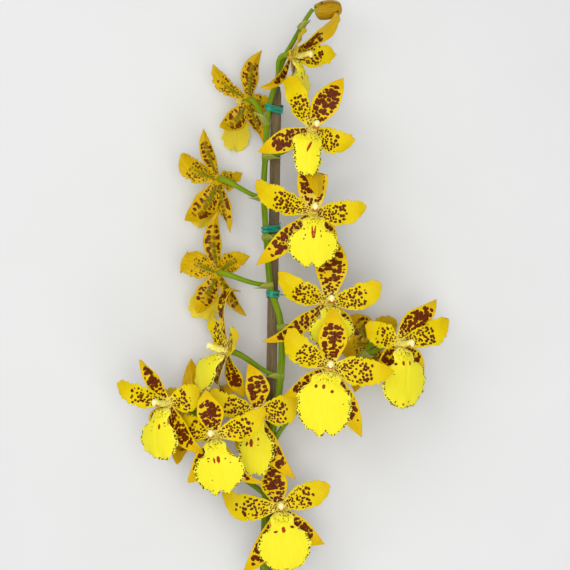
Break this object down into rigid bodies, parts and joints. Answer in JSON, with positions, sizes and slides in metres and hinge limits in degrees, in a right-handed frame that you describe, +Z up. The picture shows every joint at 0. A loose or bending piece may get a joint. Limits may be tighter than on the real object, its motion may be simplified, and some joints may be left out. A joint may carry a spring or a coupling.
{
  "type": "cambria orchid",
  "caption": "Cut flower spike of a cambria orchid: yellow blooms spotted red-brown, with a bud, on a branched green stem tied to a wooden stake. It lies on its back.",
  "frame": {"origin": "the surface it lies on, under the middle of the spray's box", "axes": "+Y runs along the stem from its cut end to the bud, +X is the right-hand side of the spray as seen from above, +Z is up, out of the faces of the blooms"},
  "size_m": [0.2412, 0.455, 0.0974],
  "materials": {
    "tepals": "satin",
    "lip": "satin",
    "column": "satin",
    "bud": "satin",
    "stem": "satin",
    "wood": "matte",
    "tie": "gloss"
  },
  "bodies": {
    "root": {"bloom_01_tepals": "tepals", "bloom_01_lip": "lip", "bloom_01_column": "column", "bloom_02_tepals": "tepals", "bloom_02_lip": "lip", "bloom_02_column": "column", "bloom_03_tepals": "tepals", "bloom_03_lip": "lip", "bloom_03_column": "column", "bloom_04_tepals": "tepals", "bloom_04_lip": "lip", "bloom_04_column": "column", "bloom_05_tepals": "tepals", "bloom_05_lip": "lip", "bloom_05_column": "column", "bloom_06_tepals": "tepals", "bloom_06_lip": "lip", "bloom_06_column": "column", "bloom_07_tepals": "tepals", "bloom_07_lip": "lip", "bloom_07_column": "column", "bloom_08_tepals": "tepals", "bloom_08_lip": "lip", "bloom_08_column": "column", "bloom_09_tepals": "tepals", "bloom_09_lip": "lip", "bloom_09_column": "column", "bloom_10_tepals": "tepals", "bloom_10_lip": "lip", "bloom_10_column": "column", "bloom_11_tepals": "tepals", "bloom_11_lip": "lip", "bloom_11_column": "column", "bloom_12_tepals": "tepals", "bloom_12_lip": "lip", "bloom_12_column": "column", "bloom_13_tepals": "tepals", "bloom_13_lip": "lip", "bloom_13_column": "column", "bloom_14_tepals": "tepals", "bloom_14_lip": "lip", "bloom_14_column": "column", "bloom_15_tepals": "tepals", "bloom_15_lip": "lip", "bloom_15_column": "column", "bloom_16_tepals": "tepals", "bloom_16_lip": "lip", "bloom_16_column": "column", "bud": "bud", "stem": "stem", "stake": "wood", "tie_1": "tie", "tie_2": "tie", "tie_3": "tie"}
  },
  "joints": []
}
